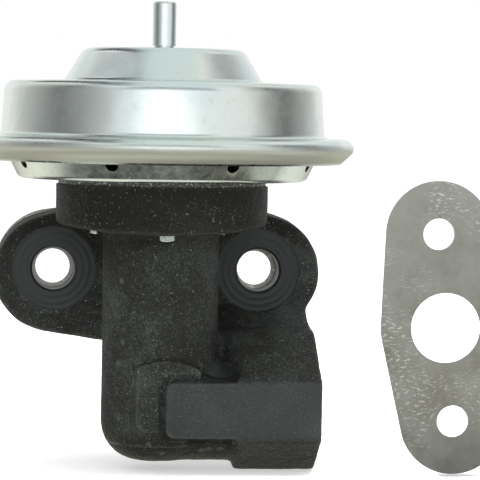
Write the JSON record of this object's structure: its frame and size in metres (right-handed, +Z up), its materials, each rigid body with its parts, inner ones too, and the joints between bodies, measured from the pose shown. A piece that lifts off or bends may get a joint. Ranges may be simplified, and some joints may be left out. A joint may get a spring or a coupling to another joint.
{
  "type": "exhaust gas recirculation valve",
  "caption": "Vacuum-operated EGR valve: a domed diaphragm can over a cast-iron body with a side gas inlet and a rear flange for bolting to the manifold.",
  "frame": {"origin": "centre of the gas port on the outer face of the mounting gasket", "axes": "+Y out of the mounting face, +Z up along the stem towards the vacuum nipple, +X towards the threaded gas inlet"},
  "size_m": [0.0912, 0.0912, 0.111],
  "materials": {
    "cast_iron": "as sand cast, dark",
    "zinc_plated_steel": "bright zinc plate",
    "gasket_steel": "dull rolled steel",
    "plain_steel": "turned",
    "stainless_steel": "turned",
    "spring_steel": "oiled wire",
    "sintered_bronze": "sintered",
    "diaphragm_rubber": "rubber-coated fabric",
    "seal_rubber": "moulded"
  },
  "bodies": {
    "housing": {"valve_body": "cast_iron", "upper_cover": "zinc_plated_steel", "vacuum_nipple": "zinc_plated_steel", "lower_cover": "zinc_plated_steel", "diaphragm": "diaphragm_rubber", "return_spring": "spring_steel", "valve_seat": "stainless_steel", "stem_guide": "plain_steel", "stem_bushing": "sintered_bronze", "stem_seal": "seal_rubber", "seal_retainer": "plain_steel", "base_gasket": "gasket_steel", "base_rivets": "zinc_plated_steel", "mounting_gasket": "gasket_steel"},
    "stem_stack": {"stem": "stainless_steel", "pintle": "stainless_steel", "gas_deflector": "stainless_steel", "backing_plate": "zinc_plated_steel", "diaphragm_piston": "zinc_plated_steel", "stem_washer": "plain_steel"}
  },
  "joints": [
    {"name": "valve_lift", "type": "slide", "parent": "housing", "child": "stem_stack", "axis": [0, 0, 1], "range_m": [0, 0.005], "stiffness_N_per_m": 3600, "springref_m": -0.01, "deforming": ["return_spring", "diaphragm"]}
  ]
}
